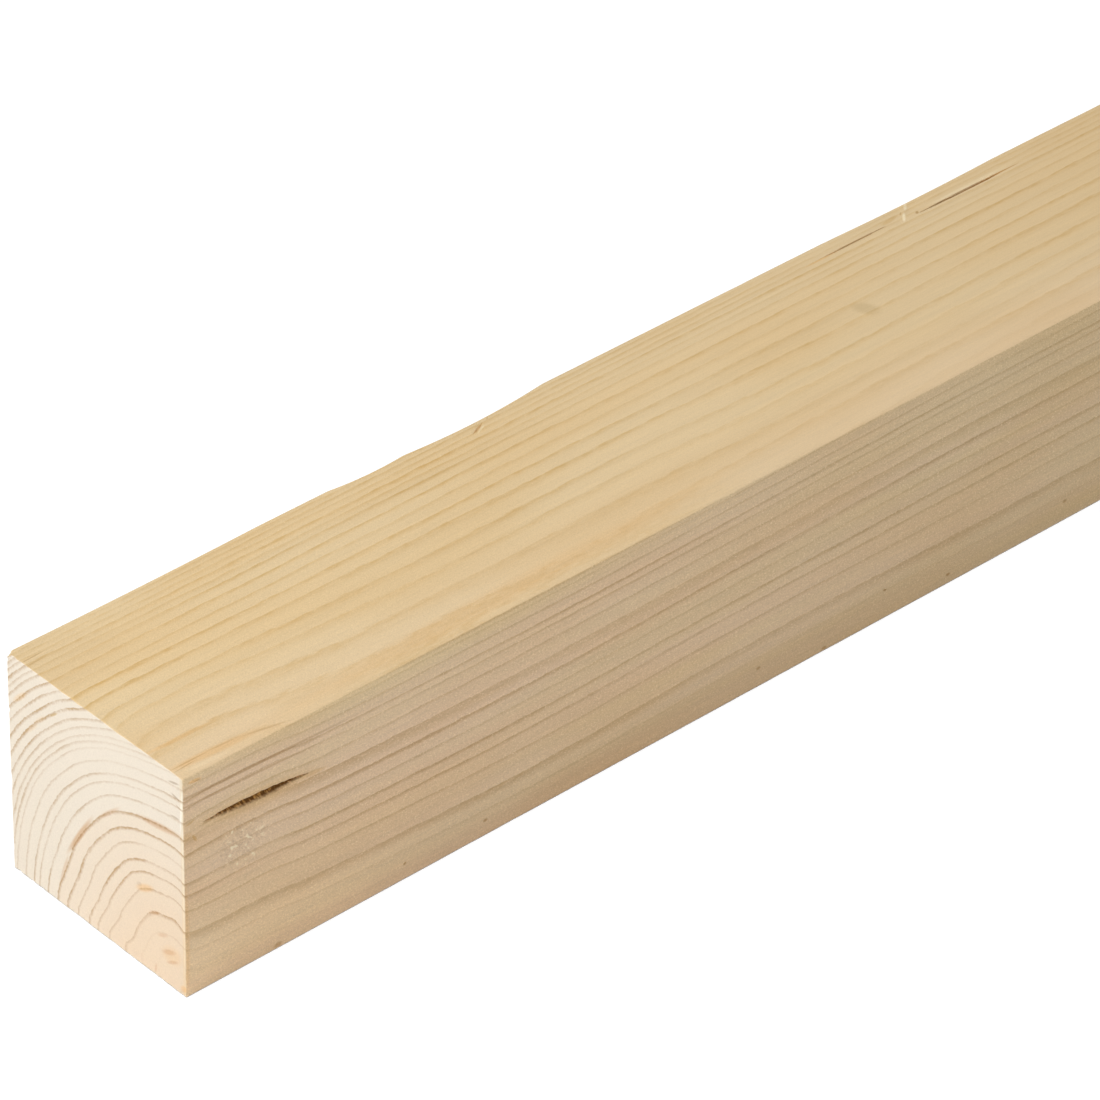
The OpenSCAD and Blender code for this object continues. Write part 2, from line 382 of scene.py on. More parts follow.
@dataclass
class Plank:
    """The planed length as one closed skin, finer where it has marks."""

    stock: Stock
    # Stop and step of each stretch of the grid lines across, up and along the piece
    across_ruler: tuple[tuple[float, float], ...] = (
        (-21.7, 0.075), (-21.4, 0.1), (-18.9, 0.2), (-17.4, 0.1), (-16.6, 0.2), (-14.0, 0.65), (14.0, 2.0),
        (18.0, 1.0), (20.5, 0.5), (21.7, 0.2), (22.0, 0.075),
    )
    up_ruler: tuple[tuple[float, float], ...] = (
        (0.3, 0.075), (1.5, 0.24), (4.0, 0.6), (30.0, 2.0), (31.4, 0.35), (34.8, 0.2), (36.5, 0.45),
        (42.0, 1.1), (43.7, 0.25), (44.0, 0.075),
    )
    along_ruler: tuple[tuple[float, float], ...] = (
        (0.4, 0.1), (2.0, 0.2), (4.0, 0.5), (28.0, 0.8), (60.0, 2.0), (66.0, 1.5), (76.0, 0.5), (95.0, 1.0),
        (101.0, 0.3), (116.0, 1.25), (160.0, 2.75), (172.0, 2.0), (190.0, 1.5), (201.0, 0.4), (226.0, 1.0),
        (260.0, 2.4), (1780.0, 30.0), (1796.0, 4.0), (1799.6, 0.6), (1800.0, 0.1),
    )
    # Edges that turn by more degrees than this stay sharp
    sharp_angle: float = 50.0
    # Depth of the easing of the sawn edges, and of the dents in them and in the long arrises
    end_ease: float = 0.1
    end_wear: float = 0.22
    arris_wear: float = 0.1
    # Share and length of each kind of dent in an arris, and share and size of each in a sawn edge
    arris_dents: tuple[tuple[float, float], ...] = ((0.6, 55.0), (0.3, 6.0), (0.35, 1.1))
    end_dents: tuple[tuple[float, float], ...] = ((1.0, 1.1), (0.5, 4.0))
    # How far the dents of one arris are moved from those of the next, so that no two are alike
    dents_apart: tuple[float, float, float] = (31.0, 0.0, 17.0)
    # The chipped corner: its depth below the sharp corner, how uneven that is, and the way that it looks
    chip_depth: float = 0.75
    chip_wear: float = 0.35
    chip_grain: float = 0.9
    chip_look: tuple[float, float, float] = (-0.7, -0.45, 0.6)
    # How much a point looks the way of a face where it starts to sink with it, and over what range
    sink_from: float = 0.2
    sink_range: float = 0.6
    # How steeply the flake stands out of the torn patch
    flake_rise: float = 2.0

    def build(self) -> bpy.types.Object:
        """Makes the skin, rides it on the body and puts it in place of the solid.

        Returns:
            The new piece.
        """
        across = ruled_lines(-self.stock.width / 2, self.across_ruler)
        up = ruled_lines(0.0, self.up_ruler)
        along = ruled_lines(0.0, self.along_ruler)
        columns, rows = self._loop(len(across), len(up))
        inner_columns, inner_rows = self._inside(len(across), len(up))
        skin = self._points(across[columns], up[rows], along)
        start = self._points(across[inner_columns], up[inner_rows], along[:1])
        stop = self._points(across[inner_columns], up[inner_rows], along[-1:])
        places = self._worked(np.concatenate([skin, start, stop]))
        mesh = bpy.data.meshes.new("plank_skin")
        middle = np.array([0.0, self.stock.length / 2, 0.0])
        faces = self._faces(len(across), len(up), len(along), columns, rows)
        mesh.from_pydata(((places - middle) * MM).tolist(), [], faces)
        mesh.shade_smooth()
        mesh.set_sharp_from_angle(angle=math.radians(self.sharp_angle))
        piece = bpy.data.objects.new("planed_length", mesh)
        bpy.context.scene.collection.objects.link(piece)
        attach(piece, "root")
        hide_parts(NODE)
        return piece

    @staticmethod
    def _loop(columns: int, rows: int) -> tuple[np.ndarray, np.ndarray]:
        """Walks round the section, clockwise as seen from the marked end, from the upper corner at -X.

        Args:
            columns: How many lines stand across the section.
            rows: How many lines stand up it.

        Returns:
            The column and the row of each point of the walk.
        """
        top = [(column, rows - 1) for column in range(columns - 1)]
        right = [(columns - 1, row) for row in range(rows - 1, 0, -1)]
        underside = [(column, 0) for column in range(columns - 1, 0, -1)]
        left = [(0, row) for row in range(rows - 1)]
        walk = np.array(top + right + underside + left)
        return walk[:, 0], walk[:, 1]

    @staticmethod
    def _inside(columns: int, rows: int) -> tuple[np.ndarray, np.ndarray]:
        """Columns and rows of the crossings inside an end, column by column."""
        grid = np.meshgrid(np.arange(1, columns - 1), np.arange(1, rows - 1), indexing="ij")
        return grid[0].ravel(), grid[1].ravel()

    def _points(self, across: np.ndarray, up: np.ndarray, along: np.ndarray) -> np.ndarray:
        """Sets points of the section at each station along the piece.

        Args:
            across: X of each point of the square section.
            up: Z of each point of the square section.
            along: The stations.

        Returns:
            Rows of X, place along, Z and the X and Z of the way that the skin looks, station by station.
        """
        new_across, new_up, look_across, look_up = self.stock.eased(across, up)
        stations = len(along)
        return np.stack([
            np.tile(new_across, stations),
            np.repeat(along, len(across)),
            np.tile(new_up, stations),
            np.tile(look_across, stations),
            np.tile(look_up, stations),
        ], axis=1)

    @staticmethod
    def _faces(columns: int, rows: int, stations: int, loop_columns: np.ndarray,
               loop_rows: np.ndarray) -> list[list[int]]:
        """Joins the points by four-sided faces.

        Args:
            columns: How many lines stand across the section.
            rows: How many lines stand up it.
            stations: How many stations stand along the piece.
            loop_columns: The column of each point round the section.
            loop_rows: The row of each point round the section.

        Returns:
            The points of each face.
        """
        around = len(loop_columns)
        ring = np.arange(around)
        beside = np.roll(ring, -1)
        base = (np.arange(stations - 1) * around)[:, None]
        skin = np.stack([base + ring, base + ring + around, base + beside + around, base + beside], axis=-1)
        inside = (columns - 2) * (rows - 2)
        skin_points = stations * around
        ends = []
        rims = ((0, skin_points, 1), (skin_points - around, skin_points + inside, -1))
        for rim, first, turn in rims:
            grid = np.empty((columns, rows), dtype=int)
            grid[loop_columns, loop_rows] = rim + ring
            grid[1:-1, 1:-1] = first + np.arange(inside).reshape(columns - 2, rows - 2)
            cells = np.stack([grid[:-1, :-1], grid[1:, :-1], grid[1:, 1:], grid[:-1, 1:]], axis=-1)
            ends.append(cells.reshape(-1, 4)[:, ::turn])
        return np.concatenate([skin.reshape(-1, 4), *ends]).tolist()

    def _worked(self, points: np.ndarray) -> np.ndarray:
        """Cuts the marks into the plain skin, and moves nothing outwards.

        Args:
            points: Rows as _points gives them.

        Returns:
            The X, place along and Z of each point after the work.
        """
        for lens in (RESIN_POCKET, SLANT_TEAR):
            self._sink(points, lens, np.sqrt(lens.inside(*self._on_face(points, lens))))
        for check in (WIDE_CHECK, HAIR_CHECK):
            self._sink(points, check, check.inside(*self._on_face(points, check)))
        torn = TORN_PATCH.inside(*self._on_face(points, TORN_PATCH))
        flake = LIFTED_FLAKE.inside(*self._on_face(points, LIFTED_FLAKE))
        self._sink(points, TORN_PATCH, np.sqrt(torn) * np.clip(1 - self.flake_rise * flake, 0.0, 1.0))
        places = points[:, :3]
        places = self._skipped(places)
        places = self._worn_arrises(places)
        return self._worn_ends(places)

    @staticmethod
    def _on_face(points: np.ndarray, lens: Lens) -> tuple[np.ndarray, np.ndarray]:
        """Place along and level of each point on the face that carries an opening."""
        return points[:, 1], points[:, 0 if lens.face is Face.TOP else 2]

    def _sink(self, points: np.ndarray, lens: Lens, share: np.ndarray) -> None:
        """Sinks the points of a long face.

        Args:
            points: Rows as _points gives them, which are changed.
            lens: The opening that they belong to.
            share: How much of the opening's depth each point sinks.
        """
        look, sunk = (4, 2) if lens.face is Face.TOP else (3, 0)
        facing = np.clip((points[:, look] - self.sink_from) / self.sink_range, 0.0, 1.0)
        points[:, sunk] -= np.where(points[:, 1] > 0, facing * share * lens.depth, 0.0)

    def _skipped(self, places: np.ndarray) -> np.ndarray:
        """Takes the planing skips out of the upper arris at -X.

        Args:
            places: X, place along and Z of each point.

        Returns:
            The places after the cuts.
        """
        contact_shade = (-self.stock.width / 2, 0.0, self.stock.height)
        depth = np.max([skip.depth_at(places[:, 1]) for skip in SKIPS], axis=0)
        return shaved(places, contact_shade, (-1.0, 0.0, 1.0), depth)

    def _worn_arrises(self, places: np.ndarray) -> np.ndarray:
        """Takes small dents out of the four long arrises.

        Args:
            places: X, place along and Z of each point.

        Returns:
            The places after the cuts.
        """
        eased = (math.sqrt(2) - 1) * self.stock.arris_radius
        for side in (-1, 1):
            for level in (0, 1):
                shift = np.array([side, 0, level]) * np.array(self.dents_apart)
                line = np.where([True, False, True], 0.0, places) + shift
                swell = sum(share * uneven(line, (1, length, 1)) for share, length in self.arris_dents)
                contact_shade = (side * self.stock.width / 2, 0.0, level * self.stock.height)
                places = shaved(places, contact_shade, (side, 0, 2 * level - 1), eased + self.arris_wear * swell)
        return places

    def _worn_ends(self, places: np.ndarray) -> np.ndarray:
        """Breaks the sharp edges of both sawn ends, unevenly, and the marked end's upper corner at -X.

        Args:
            places: X, place along and Z of each point.

        Returns:
            The places after the cuts.
        """
        half, height, length = self.stock.width / 2, self.stock.height, self.stock.length
        for end, out in ((0.0, -1.0), (length, 1.0)):
            swell = sum(share * uneven(places + end, (size,) * 3) for share, size in self.end_dents)
            depth = self.end_ease + self.end_wear * np.clip(swell, 0.0, 1.0)
            for look in ((1, 0), (-1, 0), (0, 1), (0, -1)):
                contact_shade = (look[0] * half, end, height / 2 * (1 + look[1]))
                places = shaved(places, contact_shade, (look[0], out, look[1]), depth)
        chip = self.chip_depth + self.chip_wear * uneven(places, (self.chip_grain,) * 3)
        return shaved(places, (-half, 0.0, height), self.chip_look, chip)


@dataclass(frozen=True)
class Signal:
    """One number that varies over the wood, carried by a node's socket."""

    board: "NodeBoard"
    socket: bpy.types.NodeSocket

    def __add__(self, other: "Term") -> "Signal":
        """The sum of the two."""
        return self.board.math("ADD", self, other)

    def __radd__(self, other: float) -> "Signal":
        """The sum of the two."""
        return self.board.math("ADD", other, self)

    def __sub__(self, other: "Term") -> "Signal":
        """This number less the other."""
        return self.board.math("SUBTRACT", self, other)

    def __rsub__(self, other: float) -> "Signal":
        """The other number less this one."""
        return self.board.math("SUBTRACT", other, self)

    def __mul__(self, other: "Term") -> "Signal":
        """The product of the two."""
        return self.board.math("MULTIPLY", self, other)

    def __rmul__(self, other: float) -> "Signal":
        """The product of the two."""
        return self.board.math("MULTIPLY", other, self)

    def __truediv__(self, other: "Term") -> "Signal":
        """This number over the other."""
        return self.board.math("DIVIDE", self, other)

    def __rtruediv__(self, other: float) -> "Signal":
        """The other number over this one."""
        return self.board.math("DIVIDE", other, self)

    def __abs__(self) -> "Signal":
        """The number without its sign."""
        return self.board.math("ABSOLUTE", self)

    def power(self, exponent: float) -> "Signal":
        """The number raised to a power."""
        return self.board.math("POWER", self, exponent)

    def least(self, other: "Term") -> "Signal":
        """The lower of the two."""
        return self.board.math("MINIMUM", self, other)

    def most(self, other: "Term") -> "Signal":
        """The higher of the two."""
        return self.board.math("MAXIMUM", self, other)

    def within(self) -> "Signal":
        """The number held between 0 and 1."""
        return self.most(0.0).least(1.0)

    def step(self, low: "Term", high: "Term") -> "Signal":
        """Rises smoothly from 0 at low to 1 at high.

        Args:
            low: Where the step starts.
            high: Where the step ends.

        Returns:
            The graded number.
        """
        return self.graded(low, high, 0.0, 1.0)

    def fall(self, low: "Term", high: "Term", most: float = 1.0) -> "Signal":
        """Falls smoothly from its most at low to 0 at high.

        Args:
            low: Where the fall starts.
            high: Where the fall ends.
            most: The value before the fall.

        Returns:
            The graded number.
        """
        return self.graded(low, high, most, 0.0)

    def graded(self, low: "Term", high: "Term", first: float, last: float) -> "Signal":
        """Changes smoothly from one value to another.

        Args:
            low: Where the change starts.
            high: Where the change ends.
            first: The value before the change.
            last: The value after it.

        Returns:
            The graded number.
        """
        node = self.board.add("ShaderNodeMapRange", interpolation_type="SMOOTHSTEP")
        for socket, term in zip(node.inputs, (self, low, high, first, last)):
            self.board.feed(socket, term)
        return Signal(self.board, node.outputs[0])


Term = Signal | float


@dataclass(frozen=True)
class Grain:
    """Smooth noise in the wood: its size along each axis, in millimetres, and how it looks.

    The shift moves it, so that no two are alike. Layers is how many finer layers it has, rough is how strong
    they are, and turn is how far it is turned about each axis, in radians. Strength multiplies it.
    """

    size: tuple[float, float, float]
    shift: float
    layers: float = 2.0
    rough: float = 0.5
    turn: tuple[float, float, float] = (0.0, 0.0, 0.0)
    strength: float = 1.0


class NodeBoard:
    """Lays shader nodes on one node tree and wires them."""

    def __init__(self, tree: bpy.types.NodeTree) -> None:
        """Starts on an emptied tree."""
        tree.nodes.clear()
        self.tree = tree

    def add(self, kind: str, **settings: object) -> bpy.types.Node:
        """Lays one node.

        Args:
            kind: Blender's name for the node.
            settings: The node's own settings.

        Returns:
            The node.
        """
        node = self.tree.nodes.new(kind)
        for name, value in settings.items():
            setattr(node, name, value)
        return node

    def feed(self, socket: bpy.types.NodeSocket, term: object) -> None:
        """Wires a socket to what feeds it, or sets its value.

        Args:
            socket: The socket to feed.
            term: A signal, another node's socket, a number, a vector or a colour.
        """
        if isinstance(term, Signal):
            self.tree.links.new(term.socket, socket)
        elif isinstance(term, bpy.types.NodeSocket):
            self.tree.links.new(term, socket)
        else:
            socket.default_value = term

    def math(self, operation: str, *terms: Term) -> Signal:
        """Works out one sum with up to three numbers.

        Args:
            operation: Blender's name for the sum.
            terms: The numbers, in order.

        Returns:
            The result.
        """
        node = self.add("ShaderNodeMath", operation=operation)
        for socket, term in zip(node.inputs, terms):
            self.feed(socket, term)
        return Signal(self, node.outputs[0])

    def vector(self, operation: str, *terms: object) -> bpy.types.NodeSocket:
        """Works out one sum with vectors.

        Args:
            operation: Blender's name for the sum.
            terms: The vectors, in order.

        Returns:
            The socket that holds the resulting vector.
        """
        node = self.add("ShaderNodeVectorMath", operation=operation)
        for socket, term in zip(node.inputs, terms):
            self.feed(socket, term)
        return node.outputs[0]

    def measure(self, operation: str, *terms: object) -> Signal:
        """Works out one number from vectors.

        Args:
            operation: Blender's name for the sum.
            terms: The vectors, in order.

        Returns:
            The number.
        """
        return Signal(self, self.vector(operation, *terms).node.outputs["Value"])

    def reach(self, first: Signal, second: Signal) -> Signal:
        """Length of the straight line with these two legs."""
        return self.math("SQRT", first * first + second * second)

    def split(self, vector: bpy.types.NodeSocket) -> tuple[Signal, Signal, Signal]:
        """Takes a vector apart.

        Args:
            vector: The socket that holds the vector.

        Returns:
            Its three numbers.
        """
        node = self.add("ShaderNodeSeparateXYZ")
        self.feed(node.inputs[0], vector)
        return tuple(Signal(self, socket) for socket in node.outputs)

    def join(self, *terms: Term) -> bpy.types.NodeSocket:
        """Puts numbers together as a vector.

        Args:
            terms: Its two or three numbers.

        Returns:
            The socket that holds the vector.
        """
        node = self.add("ShaderNodeCombineXYZ")
        for socket, term in zip(node.inputs, terms):
            self.feed(socket, term)
        return node.outputs[0]

    def curve(self, signal: Signal, points: Points, handle: str = "AUTO_CLAMPED") -> Signal:
        """Looks a number up on a drawn curve.

        Args:
            signal: The number, from 0 to 1.
            points: Points of the curve, from left to right.
            handle: How the curve passes its points.

        Returns:
            The height of the curve.
        """
        low = min(height for _, height in points)
        high = max(height for _, height in points)
        node = self.add("ShaderNodeFloatCurve")
        line = node.mapping.curves[0]
        while len(line.points) < len(points):
            line.points.new(0.5, 0.5)
        for knot, (place, height) in zip(line.points, points):
            knot.location = (place, (height - low) / (high - low))
            knot.handle_type = handle
        node.mapping.update()
        self.feed(node.inputs["Value"], signal)
        return Signal(self, node.outputs[0]) * (high - low) + low

    def noise(self, place: bpy.types.NodeSocket, grain: Grain) -> Signal:
        """Smooth noise about 0, mostly between -0.3 and 0.3 where its strength is 1.

        Args:
            place: The socket that holds the place in millimetres.
            grain: The kind of noise.

        Returns:
            The noise.
        """
        spread = self.add("ShaderNodeMapping", vector_type="TEXTURE")
        self.feed(spread.inputs["Vector"], place)
        self.feed(spread.inputs["Location"], (grain.shift,) * 3)
        self.feed(spread.inputs["Rotation"], grain.turn)
        self.feed(spread.inputs["Scale"], grain.size)
        node = self.add("ShaderNodeTexNoise")
        self.feed(node.inputs["Vector"], spread.outputs[0])
        self.feed(node.inputs["Scale"], 1.0)
        self.feed(node.inputs["Detail"], grain.layers)
        self.feed(node.inputs["Roughness"], grain.rough)
        return (Signal(self, node.outputs[0]) - 0.5) * grain.strength

    def mix(self, share: Term, first: object, second: object, blend: str = "MIX") -> bpy.types.NodeSocket:
        """Mixes two colours.

        Args:
            share: How much of the second colour there is, from 0 to 1.
            first: The first colour, or the socket that holds it.
            second: The second colour, or the socket that holds it.
            blend: Blender's name for the way that they mix.

        Returns:
            The socket that holds the mixed colour.
        """
        node = self.add("ShaderNodeMix", data_type="RGBA", blend_type=blend)
        self.feed(node.inputs[0], share)
        for socket, colour in zip(node.inputs[6:8], (first, second)):
            self.feed(socket, colour if isinstance(colour, bpy.types.NodeSocket) else (*colour, 1.0))
        return node.outputs[2]

    def tinted(self, share: Term, colour: bpy.types.NodeSocket, tint: object) -> bpy.types.NodeSocket:
        """A colour seen through some share of a tint."""
        return self.mix(share, colour, tint, "MULTIPLY")

    def mix_surfaces(self, share: Term, first: bpy.types.NodeSocket,
                     second: bpy.types.NodeSocket) -> bpy.types.NodeSocket:
        """Mixes two surfaces.

        Args:
            share: How much of the second surface there is, from 0 to 1.
            first: The socket that holds the first surface.
            second: The socket that holds the second surface.

        Returns:
            The socket that holds the mixed surface.
        """
        node = self.add("ShaderNodeMixShader")
        for socket, term in zip(node.inputs, (share, first, second)):
            self.feed(socket, term)
        return node.outputs[0]

    def scaled(self, colour: bpy.types.NodeSocket, share: Signal) -> bpy.types.NodeSocket:
        """Makes a colour lighter or darker.

        Args:
            colour: The socket that holds the colour.
            share: What it is multiplied by.

        Returns:
            The socket that holds the new colour.
        """
        node = self.add("ShaderNodeCombineColor")
        for socket in node.inputs:
            self.feed(socket, share)
        return self.mix(1.0, colour, node.outputs[0], "MULTIPLY")


# Millimetres from an end, and about an arris, over which one face's finish gives way to the next
END_BAND = (0.04, 0.14)
ARRIS_BAND = (-0.05, 0.05)
# Depths below the top face and the right face, and behind the marked end, over which a face's marks stop
TOP_REACH = (4.0, 3.5)
RIGHT_REACH = (2.0, 1.5)
END_REACH = (0.3, 0.6)
HIDDEN = 9.0
# How far out a soft mark is full, where its rim is 1
SOFT_CORE = 0.35


@dataclass(frozen=True)
class FacePlace:
    """A place on a face: the socket that holds its place along, its level and 1, and how far off it is.

    A mark is hidden where beyond is 1 or more.
    """

    plane: bpy.types.NodeSocket
    beyond: Signal


@dataclass(frozen=True)
class WoodPlace:
    """The place in the wood that is being coloured, in millimetres.

    Skin is 1 on the long faces and 0 on the sawn ends. On_top is 1 on the top face and 0 on the others.
    """

    board: NodeBoard
    stock: Stock
    place: bpy.types.NodeSocket
    across: Signal
    along: Signal
    up: Signal
    skin: Signal
    on_top: Signal
    faces: dict[Face, FacePlace]

    @classmethod
    def read(cls, board: NodeBoard, stock: Stock) -> "WoodPlace":
        """Reads the place.

        Args:
            board: The node board.
            stock: The sizes of the wood.

        Returns:
            The place.
        """
        place = board.vector("MULTIPLY", board.add("ShaderNodeTexCoord").outputs["Object"], (1 / MM,) * 3)
        across, middle_along, up = board.split(place)
        along = middle_along + stock.length / 2
        skin = along.least(stock.length - along).step(*END_BAND)
        off_top = up.fall(*(stock.height - depth for depth in TOP_REACH), HIDDEN)
        off_right = across.fall(*(stock.width / 2 - depth for depth in RIGHT_REACH), HIDDEN)
        faces = {
            Face.TOP: FacePlace(board.join(along, across, 1.0), off_top + (1.0 - skin)),
            Face.RIGHT: FacePlace(board.join(along, up, 1.0), off_right + (1.0 - skin)),
            Face.MARKED_END: FacePlace(board.join(across, up, 1.0), along.graded(*END_REACH, 0.0, HIDDEN)),
        }
        on_top = (up - stock.height + stock.width / 2 - abs(across)).step(*ARRIS_BAND)
        return cls(board, stock, place, across, along, up, skin, on_top, faces)

    def by_face(self, side: float, top: float) -> Signal:
        """One value on the top face, and another on the other faces."""
        return side + (top - side) * self.on_top

    def noise(self, grain: Grain) -> Signal:
        """Smooth noise at the place."""
        return self.board.noise(self.place, grain)

    def measured(self, mark: Mark) -> tuple[Signal, Signal]:
        """Measures the place along and across a mark, where 1 is its rim.

        Args:
            mark: The mark.

        Returns:
            The two measures.
        """
        turn = math.radians(mark.slope)
        way = Vector((math.cos(turn), math.sin(turn)))
        axes = ((way, mark.length / 2), (way.orthogonal(), mark.width / 2))
        middle = Vector((mark.at, mark.level))
        plane = self.faces[mark.face].plane
        return tuple(
            self.board.measure("DOT_PRODUCT", plane, (axis.x / half, axis.y / half, -axis.dot(middle) / half))
            for axis, half in axes
        )

    def out_in_lens(self, mark: Mark) -> Signal:
        """How far out in a pointed mark the place is: 0 in its middle and 1 on its rim."""
        run, off = self.measured(mark)
        return abs(off) + run * run + self.faces[mark.face].beyond

    def out_in_oval(self, mark: Mark) -> Signal:
        """How far out in an oval mark the place is: 0 in its middle and 1 on its rim."""
        measures = (*self.measured(mark), self.faces[mark.face].beyond)
        return self.board.measure("LENGTH", self.board.join(*measures))

    def covered(self, marks: Sequence[Spot | FaintGrain]) -> Signal:
        """How far soft marks cover the place, from 0 outside them to the share of the fullest one."""
        shares = (self.out_in_oval(mark).fall(SOFT_CORE, 1.0, mark.share) for mark in marks)
        return reduce(Signal.most, shares)


@dataclass(frozen=True)
class Ring:
    """A growth ring: how far out its dark late wood ends, how dark it is, from 0 to 1, and how wide.

    A spread of 1 is a thin line. A wider spread shows on the planed faces only.
    """

    radius: float
    darkness: float
    spread: float = 1.0


RINGS = (
    Ring(2.6, 0.08), Ring(4.3, 0.12), Ring(7.6, 0.25), Ring(10.5, 0.9, 2.0), Ring(14.5, 0.5),
    Ring(17.5, 0.65), Ring(19.7, 0.8), Ring(22.6, 0.45), Ring(25.2, 0.85), Ring(27.9, 0.95, 2.6),
    Ring(30.9, 0.55), Ring(33.5, 0.45), Ring(35.0, 0.7), Ring(37.4, 0.45), Ring(39.7, 0.3), Ring(40.8, 0.6),
    Ring(41.8, 0.5), Ring(43.2, 0.55), Ring(44.6, 0.65), Ring(46.4, 0.8), Ring(48.0, 0.8), Ring(49.6, 0.6),
    Ring(51.3, 0.8), Ring(52.9, 0.65), Ring(53.9, 0.5), Ring(55.0, 0.9), Ring(56.0, 0.6), Ring(56.9, 0.7),
    Ring(57.7, 0.6), Ring(58.6, 0.6), Ring(60.0, 0.6), Ring(62.0, 0.5),
)


@dataclass(frozen=True)
class LateWood:
    """The rings at a place: how far out from the pith it is, the dark late line, and a shade towards it."""

    distance: Signal
    line: Signal
    shade: Signal


@dataclass(frozen=True)
class GrowthRings:
    """How the rings lie round the pith, and how they wander along the piece."""

    pith_across: float = 19.3
    pith_up: float = 2.5
    # How many rings the look-up curves have room for, and how far out the last of them can lie
    slots: int = 51
    outermost: float = 64.0
    # The stretch from the marked end that gets half of each curve along the piece
    near_stretch: float = 150.0
    # Degrees round the pith from +X, and how far the rings bulge outwards there
    bulge: tuple[tuple[float, float], ...] = (
        (0, 0.6), (80, 0.9), (90, 1.5), (100, 1.2), (110, 1.22), (120, 1.1), (130, 0.6), (140, 0.05),
        (150, -0.1), (160, -0.1), (170, 0.4), (180, 1.65), (190, 2.4), (270, 1.2), (360, 0.6),
    )
    # Place along the piece, and how far the rings near the right face sink there
    right_drop: tuple[tuple[float, float], ...] = (
        (0, 0.0), (10, -0.4), (25, 0.6), (45, 1.2), (75, 1.4), (110, 0.95), (150, 0.2), (205, -0.4),
        (260, 0.3), (400, 1.2), (600, -0.5), (800, 0.8), (1000, 1.5), (1200, 0.2), (1400, -0.8), (1600, 0.5),
        (1800, 1.0),
    )
    # Place along the piece, and how far the pith sinks there
    pith_drop: tuple[tuple[float, float], ...] = (
        (0, 0.0), (10, 2.4), (25, 2.3), (45, 2.7), (75, 3.6), (110, 3.1), (150, 4.2), (205, 5.6), (260, 4.5),
        (400, 3.0), (600, 5.0), (800, 4.0), (1000, 2.5), (1200, 3.5), (1400, 5.0), (1600, 4.0), (1800, 3.0),
    )
    # Place along the piece, and how far the rings below the middle of the top face sink there
    top_drop: tuple[tuple[float, float], ...] = (
        (0, 0.1), (10, -0.5), (25, -0.35), (45, 0.05), (75, 0.3), (110, 0.3), (150, 0.75), (205, 0.6),
        (260, 0.2), (400, -0.4), (600, 0.5), (800, 0.0), (1000, 0.6), (1200, -0.3), (1400, 0.4), (1600, 0.0),
        (1800, 0.3),
    )
    # Distance from the sunk pith where its sinking has run out
    pith_reach: float = 28.0
    # Distances from the pith where the bulge comes in and where it eases, and the share that it loses
    bulge_rise: tuple[float, float] = (4.0, 14.0)
    bulge_ease: tuple[float, float] = (28.0, 38.0)
    bulge_loss: float = 0.6
    # Near the right face: distances where the rings lift, how far, and how close to the face that stays
    right_rise: tuple[float, float] = (26.0, 38.0)
    right_lift: float = 1.6
    right_focus: float = 6.0
    # Below the top face: distances where the drop comes in, and the X and the spread of its middle
    top_rise: tuple[float, float] = (34.0, 42.0)
    top_middle: float = 4.0
    top_spread: float = 9.0
    # Width of the palest late line, what the darkest one adds, the soft edge past it, and how much wider
    # the lines are on the planed faces
    line_width: float = 0.3
    dark_width: float = 0.5
    edge_width: float = 0.14
    planed_spread: float = 1.2

    def _wander(self, where: WoodPlace, points: Points) -> Signal:
        """Looks up a value that changes along the piece, with most of the curve spent near the marked end.

        Args:
            where: The place in the wood.
            points: Places along the piece and the values there.

        Returns:
            The value.
        """
        knots = [(place / (place + self.near_stretch), height) for place, height in points]
        knots.append((1.0, points[-1][1]))
        return where.board.curve(where.along / (where.along + self.near_stretch), knots)

    def distance(self, where: WoodPlace, wobble: Signal) -> Signal:
        """How far out from the pith a place is, measured along the bent rings.

        Args:
            where: The place in the wood.
            wobble: A small unevenness, in millimetres.

        Returns:
            The distance in millimetres.
        """
        board = where.board
        beside = where.across - self.pith_across
        above = where.up - self.pith_up
        near_pith = (1.0 - board.reach(beside, above) / self.pith_reach).within()
        above = above + self._wander(where, self.pith_drop) * near_pith
        radius = board.reach(beside, above)
        turn = board.math("FRACT", board.math("ARCTAN2", above, beside) / math.tau)
        bulge = board.curve(turn, [(degrees / 360, height) for degrees, height in self.bulge])
        kept = 1.0 - self.bulge_loss * radius.step(*self.bulge_ease)
        bulge = bulge * radius.step(*self.bulge_rise) * kept
        width = where.stock.width
        near_right = ((where.across + width / 2) / width).within().power(self.right_focus)
        off_middle = ((where.across - self.top_middle) / self.top_spread).power(2.0)
        near_middle = board.math("EXPONENT", off_middle * -1.0)
        right_drop = self._wander(where, self.right_drop) - self.right_lift * radius.step(*self.right_rise)
        top_drop = self._wander(where, self.top_drop) * radius.step(*self.top_rise)
        return radius - bulge + (right_drop * near_right + top_drop * near_middle) + wobble

